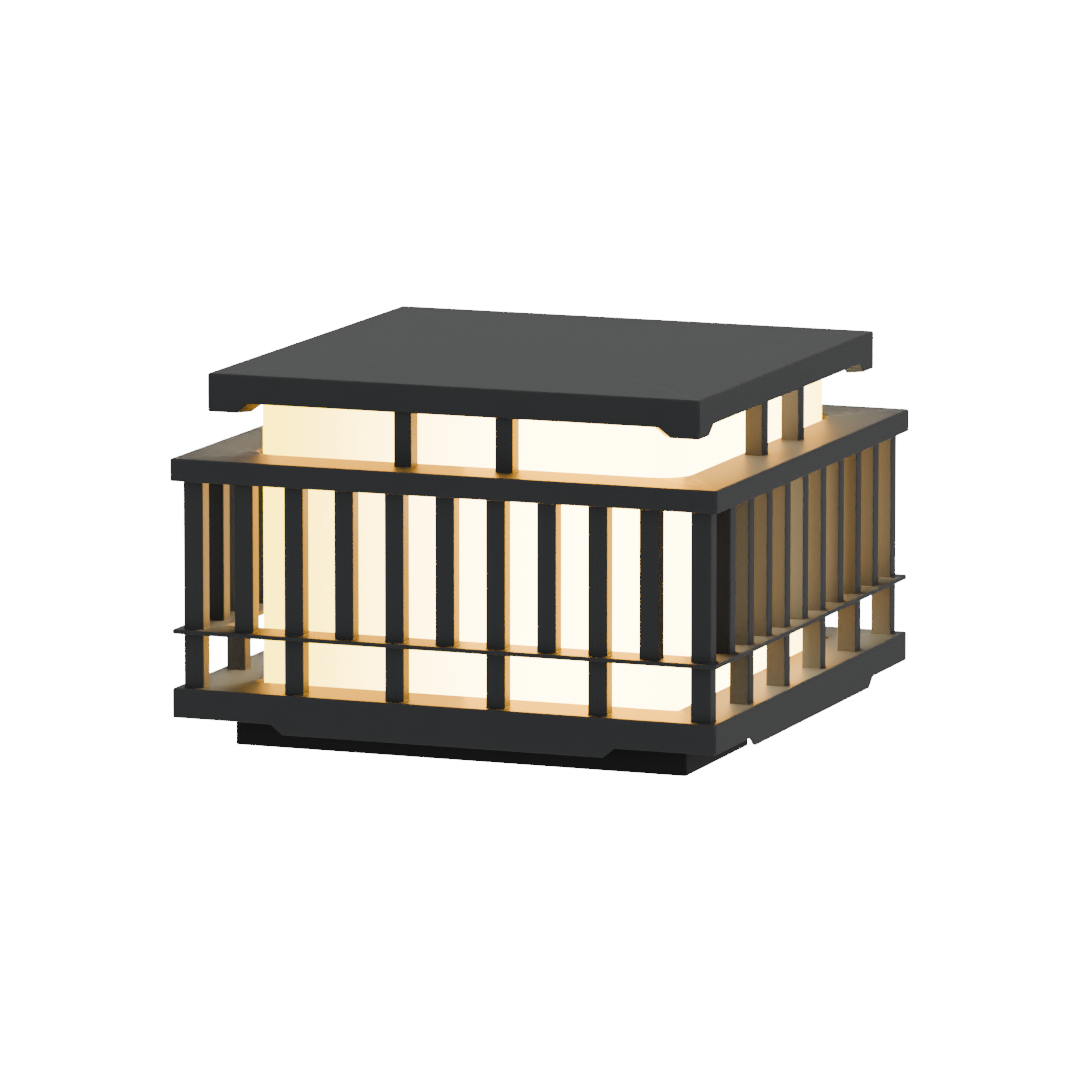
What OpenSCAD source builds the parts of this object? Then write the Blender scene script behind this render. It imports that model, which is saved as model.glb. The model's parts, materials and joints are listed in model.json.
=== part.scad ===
// Pillar-head bollard light: a square lantern that stands on a masonry pillar or post.
// The mounting plate, lampholder and bulb stay on the pillar, and the lamp head lifts off over them.
// X runs left to right, Y front to back, Z up. The origin is the centre of the foot on the pillar top.

/* [Roof] */
// Side of the square roof
roof_w = 270; // [264:1:276]
// Height of the rim at the middle of each side
roof_h = 15; // [12:0.5:18]
// Thickness of the top sheet
roof_sheet_t = 3; // [2:0.5:4]
// Thickness of the rim
roof_rim_t = 8; // [6:0.5:10]
// How far each corner drops below the middle of the rim
roof_drop = 5.1; // [2:0.1:8]
// Length of a corner drop along its lower edge
drop_foot = 15; // [10:1:25]
// Length of the sloping shoulder beside a corner drop
drop_slope = 7; // [4:0.5:12]
// Clear height between the middle ledge and the rim
roof_gap = 28.2; // [24:0.1:40]

/* [Ledges] */
// Side of the middle ledge
ledge_w = 300; // [298:1:304]
// Height of the middle ledge's edge
ledge_h = 11.9; // [10:0.1:16]
// Height of the middle ledge's underside
ledge_z = 140.7; // [130:0.1:160]
// Side of the shelf and of the base
plate_w = 299; // [297:1:303]
// Height of the shelf's underside
shelf_z = 60.8; // [52:0.1:72]
// Thickness of the shelf
shelf_t = 2.4; // [1.5:0.1:4]
// Height of the top of the base
base_top_z = 32.4; // [31:0.1:36]
// Height of the base's edge
base_h = 15.6; // [13:0.1:16]
// How far the apron hangs below the base's edge
apron_h = 5.2; // [3:0.1:6]
// Half the apron's width where it leaves the edge
apron_half_top = 95; // [70:1:95]
// Half the apron's width at its lower edge
apron_half_foot = 88.5; // [60:0.5:90]
// Thickness of the folded sheet of ledge, base and foot
sheet_t = 2.5; // [2:0.1:3]

/* [Fence] */
// Distance between neighbouring bars
bar_pitch = 27.84; // [27.5:0.01:28]
// Bar section along X
bar_w = 10.4; // [8:0.1:12]
// Bar section along Y
bar_d = 8.4; // [6:0.1:9]
// Corner post section along X
corner_w = 10.9; // [9:0.1:12]
// Corner post section along Y
corner_d = 8.6; // [7:0.1:10]
// Distance of the front and back fence faces from the centre
fence_y = 144.2; // [143:0.1:145]
// Distance of the side fence faces from the centre
fence_x = 144.9; // [144:0.1:146]
// Side of the small square posts under the roof
post_w = 9.6; // [8:0.1:9.6]
// Distance of a small post's outer face from the centre
post_out = 132.2; // [132:0.1:133]

/* [Diffuser] */
// Half the outer width of the diffuser box
diffuser_half = 116.5; // [112:0.5:116.5]
// Outer radius of the diffuser's upright corners
diffuser_r = 14; // [8:1:14]
// Wall thickness of the diffuser
diffuser_t = 3; // [2:0.5:4]
// Half the opening of the middle ledge
ledge_hole_half = 119.5; // [119:0.1:122]
// Half the opening of the shelf
shelf_hole_half = 128; // [124:0.5:130]

/* [Foot and mounting plate] */
// Side of the square foot
foot_w = 249; // [249:1:252]
// Width of the cable and drain notch in each side of the foot
notch_w = 64; // [40:1:90]
// Height of that notch
notch_h = 10; // [6:0.5:11]
// Thickness of the gasket between plate and pillar
pillar_gasket_t = 2; // [2:0.1:3]
// Thickness of the mounting plate
plate_t = 3; // [2.5:0.1:4]
// Distance between the anchor holes, both ways
anchor_pitch = 160; // [140:1:170]
// Diameter of an anchor hole
anchor_d = 9; // [7:0.5:10]
// Inner diameter of the cable grommet
cable_d = 10; // [8:0.5:11]

/* [Hidden] */

coat = "#2e3031";
foot_coat = "#1b1b1b";
steel = "#b9bcc0";
rubber = "#1f1f20";
brass = "#c9a24a";
fit_gap = 0.1;

ledge_top = ledge_z + ledge_h;
shelf_top = shelf_z + shelf_t;
base_edge_z = base_top_z - base_h;
base_under = base_top_z - sheet_t;
ledge_under = ledge_top - sheet_t;
rim_z = ledge_top + roof_gap;
roof_top = rim_z + roof_h;
roof_under = roof_top - roof_sheet_t;

pad_t = 2.8;
diffuser_top = roof_under - pad_t;
gasket_t = 1.9;
flange_t = 3;
flange_z = base_under - gasket_t - flange_t;
flange_half = foot_w / 2 - sheet_t - 1.5;
flange_r = 9.5;
base_hole_half = diffuser_half + 0.5;
plate_hole_r = 2;

plate_z = pillar_gasket_t;
plate_top = plate_z + plate_t;
plate_half_x = 105;
plate_half_y = 108;
ear_x = 115;
ear_w = 16;
ear_top = 19;
lock_y = 60;
lock_z = 11;
lock_nut_t = 4;
m5_r = 2.45;
m4_r = 1.95;

screw_post = bar_pitch;
post_mid = post_out - post_w / 2;
post_screw_len = 14;

clip_half = 13;
clip_t = 2;
stud_mid = 119;

bracket_w = 28;
bracket_t = 2;
bracket_half = 30;
bracket_foot = 44;
bracket_top = 20;
bracket_screw_x = 38;
holder_screw_x = 12;
holder_top = 63;
socket_z = 30;
shell_r = 14.4;
shell_t = 0.7;
cap_r = 13.1;
cap_z = 36;
collar_z = 61;
collar_top = 104;
globe_r = 30;
globe_z = 116;

block_pos = [62, -45];
block_size = [30, 18, 15];
pole_pitch = 9;
earth_pos = [-62, -45];
clamp_y = -62;
lead_r = 1.3;

// A square with round corners, centred on the origin: half is half its side, r its corner radius.
module round_square(half, r) {
    square([2 * half, 2 * (half - r)], center = true);
    square([2 * (half - r), 2 * half], center = true);
    for (sx = [-1, 1], sy = [-1, 1])
        translate([sx * (half - r), sy * (half - r)]) circle(r = r, $fn = 64);
}

// An upright prism on that square.
module round_prism(half, r, z0, z1) {
    translate([0, 0, z0]) linear_extrude(height = z1 - z0) round_square(half, r);
}

// A plain square prism centred on the origin.
module square_prism(side, z0, z1) {
    translate([-side / 2, -side / 2, z0]) cube([side, side, z1 - z0]);
}

// A box given by the middle of its plan, its size and the height of its underside.
module upright(x, y, w, d, z0, z1) {
    translate([x - w / 2, y - d / 2, z0]) cube([w, d, z1 - z0]);
}

// Repeats its child at the four quarter turns about Z.
module four_sides() {
    for (turn = [0 : 90 : 270]) rotate([0, 0, turn]) children();
}

// Repeats its child in the four corners at plus and minus the given distances.
module four_corners(x, y) {
    for (sx = [-1, 1], sy = [-1, 1]) translate([sx * x, sy * y, 0]) children();
}

// A pan-head screw with its head's underside at z = 0 and its shank pointing up.
module screw_up(r, len, head_r, head_h) {
    union() {
        cylinder(r = r, h = len, $fn = 32);
        translate([0, 0, -head_h]) cylinder(r = head_r, h = head_h, $fn = 32);
    }
}

// A straight length of round wire between two points.
module wire(a, b, r) {
    d = b - a;
    len = norm(d);
    translate(a)
        rotate([0, acos(d[2] / len), atan2(d[1], d[0])])
            cylinder(r = r, h = len, $fn = 24);
}

// A round wire along a list of points, with a slightly larger ball at each bend.
module wire_path(points, r) {
    union() {
        for (i = [0 : len(points) - 2]) wire(points[i], points[i + 1], r);
        for (i = [1 : len(points) - 2]) translate(points[i]) sphere(r = r + 0.15, $fn = 24);
    }
}

// The roof: a square sheet on a thick rim that is cut up between its four corner drops.
module roof() {
    half = roof_w / 2;
    foot = half - drop_foot;
    color(coat) difference() {
        square_prism(roof_w, rim_z - roof_drop, roof_top);
        square_prism(roof_w - 2 * roof_rim_t, rim_z - roof_drop - 1, roof_under);
        for (turn = [0, 90]) rotate([90, 0, turn])
            linear_extrude(height = roof_w + 2, center = true)
                polygon([[-foot, rim_z - roof_drop - 1], [foot, rim_z - roof_drop - 1],
                    [foot, rim_z - roof_drop], [foot - drop_slope, rim_z],
                    [drop_slope - foot, rim_z], [-foot, rim_z - roof_drop]]);
    }
}

// A soft ring that seals the top of the diffuser against the roof sheet.
module roof_pad() {
    color(rubber) difference() {
        round_prism(diffuser_half - 3, diffuser_r - 3, diffuser_top, roof_under);
        round_prism(diffuser_half - 13, diffuser_r - 6, diffuser_top - 1, roof_under + 1);
    }
}

// Two short square posts on each side carry the roof. Each is tapped from below.
module small_posts() {
    color(coat) four_sides() for (sx = [-1, 1]) difference() {
        upright(sx * screw_post, -post_mid, post_w, post_w, ledge_top, rim_z);
        translate([sx * screw_post, -post_mid, ledge_top - 1])
            cylinder(r = m4_r + fit_gap, h = post_screw_len + 1, $fn = 32);
    }
}

// Screws that hold the small posts, from inside the middle ledge.
module post_screws() {
    color(steel) four_sides() for (sx = [-1, 1])
        translate([sx * screw_post, -post_mid, ledge_under]) screw_up(m4_r, post_screw_len, 3.8, 2.4);
}

// The middle ledge: a folded pan, open below, with a round-cornered opening for the diffuser.
module middle_ledge() {
    color(coat) difference() {
        square_prism(ledge_w, ledge_z, ledge_top);
        square_prism(ledge_w - 2 * sheet_t, ledge_z - 1, ledge_under);
        round_prism(ledge_hole_half, ledge_hole_half - diffuser_half + diffuser_r,
            ledge_under - 1, ledge_top + 1);
        four_sides() for (sx = [-1, 1]) translate([sx * screw_post, -post_mid, ledge_under - 1])
            cylinder(r = m4_r + fit_gap, h = sheet_t + 2, $fn = 32);
    }
}

// The four corner posts of the fence.
module corner_solids(z0, z1, grow) {
    for (sx = [-1, 1], sy = [-1, 1])
        upright(sx * (fence_x - corner_w / 2), sy * (fence_y - corner_d / 2),
            corner_w + 2 * grow, corner_d + 2 * grow, z0, z1);
}

// Fence bars at the listed places, counted in pitches from the middle of each side.
module bar_solids(places, z0, z1, grow) {
    for (i = places, side = [-1, 1]) {
        upright(i * bar_pitch, side * (fence_y - bar_d / 2), bar_w + 2 * grow, bar_d + 2 * grow, z0, z1);
        upright(side * (fence_x - bar_w / 2), i * bar_pitch, bar_w + 2 * grow, bar_d + 2 * grow, z0, z1);
    }
}

module corner_posts() {
    color(coat) corner_solids(base_top_z, ledge_under, 0);
}

// Every second bar runs from the base through the shelf.
module long_bars() {
    color(coat) bar_solids([-3, -1, 1, 3], base_top_z, ledge_under, 0);
}

// The bars between them stand on the shelf.
module short_bars() {
    color(coat) bar_solids([-4, -2, 0, 2, 4], shelf_top, ledge_under, 0);
}

// The shelf: a thin flat ring with a square opening. The corner posts and long bars pass through it.
module shelf() {
    color(coat) difference() {
        square_prism(plate_w, shelf_z, shelf_top);
        round_prism(shelf_hole_half, plate_hole_r, shelf_z - 1, shelf_top + 1);
        corner_solids(shelf_z - 1, shelf_top + 1, fit_gap);
        bar_solids([-3, -1, 1, 3], shelf_z - 1, shelf_top + 1, fit_gap);
    }
}

// The base: a folded pan, open below, with a square opening and an apron hanging from each side.
module base_pan() {
    color(coat) difference() {
        union() {
            difference() {
                square_prism(plate_w, base_edge_z, base_top_z);
                square_prism(plate_w - 2 * sheet_t, base_edge_z - 1, base_under);
            }
            four_sides() translate([0, -plate_w / 2 + sheet_t, 0]) rotate([90, 0, 0])
                linear_extrude(height = sheet_t)
                    polygon([[-apron_half_top, base_edge_z + 1], [-apron_half_top, base_edge_z],
                        [-apron_half_foot, base_edge_z - apron_h], [apron_half_foot, base_edge_z - apron_h],
                        [apron_half_top, base_edge_z], [apron_half_top, base_edge_z + 1]]);
        }
        round_prism(base_hole_half, plate_hole_r, base_under - 1, base_top_z + 1);
    }
}

// The foot: a square skirt under the base, notched at both sides for a cable and for drainage.
module foot_skirt() {
    color(foot_coat) difference() {
        square_prism(foot_w, 0, base_under);
        square_prism(foot_w - 2 * sheet_t, -1, base_under + 1);
        translate([-foot_w, -notch_w / 2, -1]) cube([2 * foot_w, notch_w, notch_h + 1]);
        for (sy = [-1, 1]) translate([0, sy * lock_y, lock_z]) rotate([0, 90, 0])
            cylinder(r = m5_r + fit_gap, h = 2 * foot_w, center = true, $fn = 32);
    }
}

// Repeats its child at the four lock screws, with its Z axis pointing out of the foot's side.
module at_locks() {
    for (sx = [-1, 1], sy = [-1, 1])
        translate([sx * foot_w / 2, sy * lock_y, lock_z]) rotate([0, sx * 90, 0]) children();
}

// Weld nuts inside the foot, one for each lock screw.
module lock_nuts() {
    color(steel) at_locks() translate([0, 0, -sheet_t - lock_nut_t]) difference() {
        rotate([0, 0, 30]) cylinder(d = 9.2, h = lock_nut_t, $fn = 6);
        translate([0, 0, -1]) cylinder(r = m5_r + fit_gap, h = lock_nut_t + 2, $fn = 32);
    }
}

// Lock screws that press on the mounting plate's ears and hold the lamp head down.
module lock_screws() {
    color(steel) at_locks() difference() {
        union() {
            translate([0, 0, -(foot_w / 2 - ear_x - 0.4)])
                cylinder(r = m5_r, h = foot_w / 2 - ear_x - 0.4, $fn = 32);
            cylinder(r = 4.2, h = 2.6, $fn = 48);
        }
        translate([0, 0, 1]) cylinder(d = 4.6, h = 3, $fn = 6);
    }
}

// The diffuser: an opal box with a closed top, open below, with a flange round its foot.
module diffuser() {
    color("#fff4d0") difference() {
        union() {
            round_prism(diffuser_half, diffuser_r, flange_z, diffuser_top);
            round_prism(flange_half, flange_r, flange_z, flange_z + flange_t);
        }
        round_prism(diffuser_half - diffuser_t, diffuser_r - diffuser_t, flange_z - 1, diffuser_top - diffuser_t);
    }
}

// A flat ring between the diffuser's flange and the base.
module diffuser_gasket() {
    color(rubber) difference() {
        round_prism(flange_half, flange_r, flange_z + flange_t, base_under);
        round_prism(base_hole_half, plate_hole_r, flange_z, base_under + 1);
    }
}

// Weld studs under the base, one in each corner of the foot.
module clip_studs() {
    color(steel) four_corners(stud_mid, stud_mid) translate([0, 0, flange_z - 6.5])
        cylinder(r = 1.5, h = base_under - flange_z + 6.5, $fn = 32);
}

// Corner plates that hold the diffuser's flange up against its gasket.
module diffuser_clips() {
    side = clip_half;
    inner = foot_w / 2 - sheet_t - 0.5;
    color(steel) for (sx = [-1, 1], sy = [-1, 1]) difference() {
        upright(sx * (inner - side / 2), sy * (inner - side / 2), side, side, flange_z - clip_t, flange_z);
        translate([sx * stud_mid, sy * stud_mid, flange_z - clip_t - 1])
            cylinder(r = 1.5 + fit_gap, h = clip_t + 2, $fn = 32);
    }
}

// Nuts under those plates.
module clip_nuts() {
    color(steel) four_corners(stud_mid, stud_mid) translate([0, 0, flange_z - clip_t - 2.4]) difference() {
        cylinder(d = 5.4, h = 2.4, $fn = 6);
        translate([0, 0, -1]) cylinder(r = 1.5 + fit_gap, h = 5, $fn = 32);
    }
}

// Holes for the four anchors.
module anchor_holes() {
    four_corners(anchor_pitch / 2, anchor_pitch / 2) translate([0, 0, -1])
        cylinder(d = anchor_d, h = plate_top + 2, $fn = 48);
}

// A soft sheet between the mounting plate and the top of the pillar.
module pillar_gasket() {
    color(rubber) difference() {
        translate([-plate_half_x, -plate_half_y, 0])
            cube([2 * plate_half_x, 2 * plate_half_y, pillar_gasket_t]);
        translate([0, 0, -1]) cylinder(r = 14, h = pillar_gasket_t + 2, $fn = 64);
        anchor_holes();
    }
}

// The steel plate that stays on the pillar, with four upturned ears for the lock screws.
module mounting_plate() {
    color(steel) difference() {
        union() {
            translate([-plate_half_x, -plate_half_y, plate_z])
                cube([2 * plate_half_x, 2 * plate_half_y, plate_t]);
            for (sx = [-1, 1], sy = [-1, 1]) {
                upright(sx * (ear_x - 7.5), sy * lock_y, 15, ear_w, plate_z, plate_top);
                upright(sx * (ear_x - plate_t / 2), sy * lock_y, plate_t, ear_w, plate_z, ear_top);
            }
        }
        cylinder(r = 8, h = 20, $fn = 64);
        anchor_holes();
        for (x = [-bracket_screw_x, bracket_screw_x]) translate([x, 0, 0])
            cylinder(r = m4_r + fit_gap, h = 20, $fn = 32);
    }
}

// A rubber grommet in the middle of the plate, where the supply cable comes up.
module cable_grommet() {
    color(rubber) rotate_extrude($fn = 64)
        polygon([[cable_d / 2, plate_z - 1.8], [11, plate_z - 1.8], [11, plate_z], [8, plate_z],
            [8, plate_top], [11, plate_top], [11, plate_top + 2.2], [cable_d / 2, plate_top + 2.2]]);
}

// A bridge of bent strip that carries the lampholder over the grommet.
module holder_bracket() {
    y = bracket_w / 2;
    color(steel) difference() {
        translate([0, y, 0]) rotate([90, 0, 0]) linear_extrude(height = bracket_w) polygon([
            [-bracket_foot, plate_top], [-bracket_half + bracket_t, plate_top],
            [-bracket_half + bracket_t, bracket_top - bracket_t],
            [bracket_half - bracket_t, bracket_top - bracket_t],
            [bracket_half - bracket_t, plate_top], [bracket_foot, plate_top],
            [bracket_foot, plate_top + bracket_t], [bracket_half, plate_top + bracket_t],
            [bracket_half, bracket_top], [-bracket_half, bracket_top],
            [-bracket_half, plate_top + bracket_t], [-bracket_foot, plate_top + bracket_t]]);
        for (x = [-bracket_screw_x, bracket_screw_x]) translate([x, 0, 0])
            cylinder(r = m4_r + fit_gap, h = 12, $fn = 32);
        for (x = [-holder_screw_x, holder_screw_x]) translate([x, 0, 12])
            cylinder(r = 1.5 + fit_gap, h = 12, $fn = 32);
    }
}

// Screws that hold the bridge on the plate.
module bracket_screws() {
    color(steel) for (x = [-bracket_screw_x, bracket_screw_x])
        translate([x, 0, plate_top + bracket_t]) mirror([0, 0, 1]) screw_up(m4_r, 4.5, 3.8, 2.6);
}

// The porcelain body of the screw lampholder.
module lampholder_body() {
    color("#e8e4da") difference() {
        rotate_extrude($fn = 96)
            polygon([[0, bracket_top], [19, bracket_top], [20, bracket_top + 1], [20, 33], [23, 37], [23, 61],
                [21.5, holder_top], [14.6, holder_top], [14.6, socket_z], [0, socket_z]]);
        for (x = [-holder_screw_x, holder_screw_x]) translate([x, 0, bracket_top - 1])
            cylinder(r = 1.5 + fit_gap, h = 8, $fn = 32);
        for (x = [-8, 8]) translate([x, -30, 25]) rotate([-90, 0, 0])
            cylinder(r = lead_r + fit_gap, h = 18, $fn = 32);
    }
}

// The threaded metal sleeve inside it, drawn with one ring for each thread.
module lampholder_shell() {
    pitch = 3.6;
    color(brass) rotate_extrude($fn = 96) polygon(concat(
        [for (i = [0 : 6], s = [0, 1]) [shell_r - shell_t + (s == 0 ? 0.2 : -0.2), 34 + (i + s / 2) * pitch]],
        [[shell_r - shell_t, 60], [shell_r, 60], [shell_r, 34]]));
}

// The sprung centre contact at the bottom of the socket.
module lampholder_contact() {
    color(brass) union() {
        translate([0, 0, socket_z]) cylinder(r = 6, h = 1, $fn = 48);
        translate([0, 0, socket_z + 1]) cylinder(r = 3, h = 2.1, $fn = 48);
    }
}

// Screws that hold the lampholder on its bridge.
module holder_screws() {
    color(steel) for (x = [-holder_screw_x, holder_screw_x])
        translate([x, 0, bracket_top - bracket_t]) screw_up(1.5, 8, 2.8, 2);
}

// A three-pole terminal block for the supply.
module terminal_block() {
    color("#d9d4c4") translate([block_pos[0], block_pos[1], plate_top]) difference() {
        union() {
            translate([-block_size[0] / 2, -block_size[1] / 2, 0]) cube([block_size[0], block_size[1], 4]);
            for (i = [-1 : 1]) translate([i * pole_pitch - 4, -block_size[1] / 2, 4])
                cube([8, block_size[1], block_size[2] - 4]);
        }
        for (i = [-1 : 1]) translate([i * pole_pitch, -20, 9]) rotate([-90, 0, 0])
            cylinder(r = 1.7, h = 40, $fn = 32);
        for (i = [-1 : 1], y = [-5, 5]) translate([i * pole_pitch, y, 10.5])
            cylinder(r = 1.9, h = 9, $fn = 32);
    }
}

// Brass clamping screws in the block.
module terminal_screws() {
    color(brass) translate([block_pos[0], block_pos[1], plate_top]) for (i = [-1 : 1], y = [-5, 5])
        translate([i * pole_pitch, y, 10.8]) difference() {
            cylinder(r = 1.8, h = 3, $fn = 32);
            translate([-3, -0.3, 2.2]) cube([6, 0.6, 2]);
        }
}

// The earth stud and its washer, welded to the plate.
module earth_stud() {
    color(brass) translate([earth_pos[0], earth_pos[1], plate_top]) union() {
        cylinder(r = m4_r, h = 12, $fn = 32);
        cylinder(r = 4.5, h = 0.8, $fn = 48);
    }
}

module earth_nut() {
    color(brass) translate([earth_pos[0], earth_pos[1], plate_top + 2.4]) difference() {
        cylinder(d = 8.1, h = 3.2, $fn = 6);
        translate([0, 0, -1]) cylinder(r = m4_r + fit_gap, h = 6, $fn = 32);
    }
}

// The two leads between the terminal block and the lampholder.
module holder_leads() {
    y_in = block_pos[1] + block_size[1] / 2;
    z_in = plate_top + 9;
    color("#8a3b2a") {
        wire_path([[block_pos[0], y_in - 3, z_in], [block_pos[0], -28, z_in], [8, -25, 25], [8, -16, 25]],
            lead_r);
        wire_path([[block_pos[0] - pole_pitch, y_in - 3, z_in], [block_pos[0] - pole_pitch, -32, z_in],
            [-8, -29, 25], [-8, -16, 25]], lead_r);
    }
}

// The earth lead from the block to the stud, ending in a ring tag.
module earth_lead() {
    y_out = block_pos[1] + block_size[1] / 2;
    color("#5f9a3a") union() {
        wire_path([[block_pos[0] + pole_pitch, y_out - 3, plate_top + 9],
            [block_pos[0] + pole_pitch, y_out + 4, plate_top + 9], [block_pos[0] + pole_pitch, y_out + 22, 8],
            [50, 24, 7], [-50, 24, 7], [-62, 10, 7], [earth_pos[0], earth_pos[1] + 8, plate_top + 1.6]], lead_r);
        translate([earth_pos[0], earth_pos[1], plate_top + 0.8]) difference() {
            union() {
                cylinder(r = 4, h = 1.6, $fn = 48);
                translate([-1.5, 0, 0]) cube([3, 9, 1.6]);
            }
            translate([0, 0, -1]) cylinder(r = m4_r + fit_gap, h = 4, $fn = 32);
        }
    }
}

// A saddle that grips the supply cable beside the grommet.
module cord_clamp() {
    color("#d9d4c4") translate([0, clamp_y, plate_top]) difference() {
        translate([-16, -5, 0]) cube([32, 10, 10]);
        translate([0, -6, 1]) rotate([-90, 0, 0]) cylinder(r = 4.6, h = 12, $fn = 48);
        translate([-4.6, -6, -1]) cube([9.2, 12, 2]);
        for (x = [-11, 11]) translate([x, 0, 4]) cylinder(r = 1.5 + fit_gap, h = 8, $fn = 32);
    }
}

module clamp_screws() {
    color(steel) for (x = [-11, 11]) translate([x, clamp_y, plate_top + 10]) mirror([0, 0, 1])
        screw_up(1.5, 5.5, 2.8, 1.8);
}

// The bulb's threaded cap, with one ring for each thread.
module bulb_cap() {
    pitch = 3.6;
    color(steel) rotate_extrude($fn = 96) polygon(concat(
        [[0, cap_z + 0.5], [9, cap_z], [11.5, cap_z + 0.5]],
        [for (i = [0 : 5], s = [0, 1]) [cap_r - (s == 0 ? 0.5 : 0), cap_z + 2 + (i + s / 2) * pitch]],
        [[cap_r - 0.3, collar_z], [0, collar_z]]));
}

// The insulated centre contact under the cap.
module bulb_contact() {
    color(brass) rotate_extrude($fn = 64)
        polygon([[0, 33.5], [4, 33.5], [4.6, 34.2], [9, cap_z], [0, cap_z + 0.5]]);
}

// The bulb's driver housing.
module bulb_collar() {
    color("#f4f2ec") rotate_extrude($fn = 96)
        polygon([[0, collar_z], [13, collar_z], [13.8, collar_z + 3.5], [17, collar_z + 12],
            [23, collar_z + 25], [27.6, collar_z + 37], [28.2, collar_top], [26, collar_top],
            [26, collar_top - 2], [0, collar_top - 2]]);
}

// The round board that carries the light sources.
module bulb_board() {
    color("#f2f2f2") translate([0, 0, collar_top - 2]) union() {
        cylinder(r = 25.5, h = 1.6, $fn = 64);
        for (a = [0 : 45 : 315]) rotate([0, 0, a]) translate([16, -1.5, 1.4]) cube([3, 3, 1]);
    }
}

// The bulb's opal globe: part of a thin round shell.
module bulb_globe() {
    wall = 1.2;
    low = collar_top - globe_z;
    color("#fffaf0") rotate_extrude($fn = 96) difference() {
        translate([0, globe_z]) circle(r = globe_r, $fn = 96);
        translate([0, globe_z]) circle(r = globe_r - wall, $fn = 96);
        translate([-2 * globe_r, globe_z - 2 * globe_r]) square([4 * globe_r, 2 * globe_r + low]);
        translate([-2 * globe_r, globe_z - 2 * globe_r]) square([2 * globe_r, 4 * globe_r]);
    }
}

roof();
roof_pad();
small_posts();
post_screws();
middle_ledge();
corner_posts();
long_bars();
short_bars();
shelf();
base_pan();
foot_skirt();
lock_nuts();
lock_screws();
diffuser();
diffuser_gasket();
clip_studs();
diffuser_clips();
clip_nuts();
pillar_gasket();
mounting_plate();
cable_grommet();
holder_bracket();
bracket_screws();
lampholder_body();
lampholder_shell();
lampholder_contact();
holder_screws();
terminal_block();
terminal_screws();
earth_stud();
earth_nut();
holder_leads();
earth_lead();
cord_clamp();
clamp_screws();
bulb_cap();
bulb_contact();
bulb_collar();
bulb_board();
bulb_globe();
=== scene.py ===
"""A lit pillar-head lantern: dark powder-coated cage and roof round a glowing opal box."""

import json
import math

import bpy
import numpy as np
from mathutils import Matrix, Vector


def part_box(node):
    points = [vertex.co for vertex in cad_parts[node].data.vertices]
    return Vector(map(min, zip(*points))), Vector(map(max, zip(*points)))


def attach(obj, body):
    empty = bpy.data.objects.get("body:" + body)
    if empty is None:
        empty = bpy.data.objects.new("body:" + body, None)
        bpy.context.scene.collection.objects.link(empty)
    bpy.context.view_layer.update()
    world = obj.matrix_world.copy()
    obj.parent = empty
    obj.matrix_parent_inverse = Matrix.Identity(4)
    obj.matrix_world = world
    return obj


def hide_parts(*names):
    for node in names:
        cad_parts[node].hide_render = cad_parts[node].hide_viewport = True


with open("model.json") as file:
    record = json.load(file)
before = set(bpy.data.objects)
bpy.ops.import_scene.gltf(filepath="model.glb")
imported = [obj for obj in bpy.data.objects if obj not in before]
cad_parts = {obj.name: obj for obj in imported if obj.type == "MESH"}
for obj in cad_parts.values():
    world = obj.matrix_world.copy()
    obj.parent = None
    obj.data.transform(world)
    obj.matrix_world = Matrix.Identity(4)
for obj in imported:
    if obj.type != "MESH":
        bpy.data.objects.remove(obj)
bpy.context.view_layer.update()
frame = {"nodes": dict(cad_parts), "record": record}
MM = 0.001

# ---------------------------------------------------------------- camera

AZIMUTH = math.radians(21.035)
ELEVATION = math.radians(9.327)
DISTANCE = 5.0303
LENS_MM = 319.38
AIM_HEIGHT = 0.09
AIM_RIGHT = -0.00295
AIM_UP = 0.00579


def aim_camera():
    """Places the camera on a sphere round the aim point, looking at its centre.

    The aim point is slid along the camera's own right and up directions, which does the framing."""
    back = Vector((math.sin(AZIMUTH) * math.cos(ELEVATION), -math.cos(AZIMUTH) * math.cos(ELEVATION),
                   math.sin(ELEVATION)))
    right = Vector((math.cos(AZIMUTH), math.sin(AZIMUTH), 0))
    target = Vector((0, 0, AIM_HEIGHT)) + right * AIM_RIGHT + back.cross(right) * AIM_UP
    data = bpy.data.cameras.new("camera")
    data.sensor_width = 36
    data.lens = LENS_MM
    data.clip_start = 0.1
    data.clip_end = 100
    camera = bpy.data.objects.new("camera", data)
    camera.location = target + back * DISTANCE
    camera.rotation_mode = "QUATERNION"
    camera.rotation_quaternion = (-back).to_track_quat("-Z", "Y")
    bpy.context.scene.collection.objects.link(camera)
    bpy.context.scene.camera = camera


aim_camera()

# ---------------------------------------------------------------- finishes


class Wire:
    """A node's output socket. Arithmetic on it adds Math nodes to the same finish."""

    def __init__(self, finish, socket):
        self.finish = finish
        self.socket = socket

    def __add__(self, other):
        return self.finish.math("ADD", self, other)

    def __sub__(self, other):
        return self.finish.math("SUBTRACT", self, other)

    def __rsub__(self, other):
        return self.finish.math("SUBTRACT", other, self)

    def __mul__(self, other):
        return self.finish.math("MULTIPLY", self, other)

    def __abs__(self):
        return self.finish.math("ABSOLUTE", self)

    __radd__ = __add__
    __rmul__ = __mul__


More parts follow.
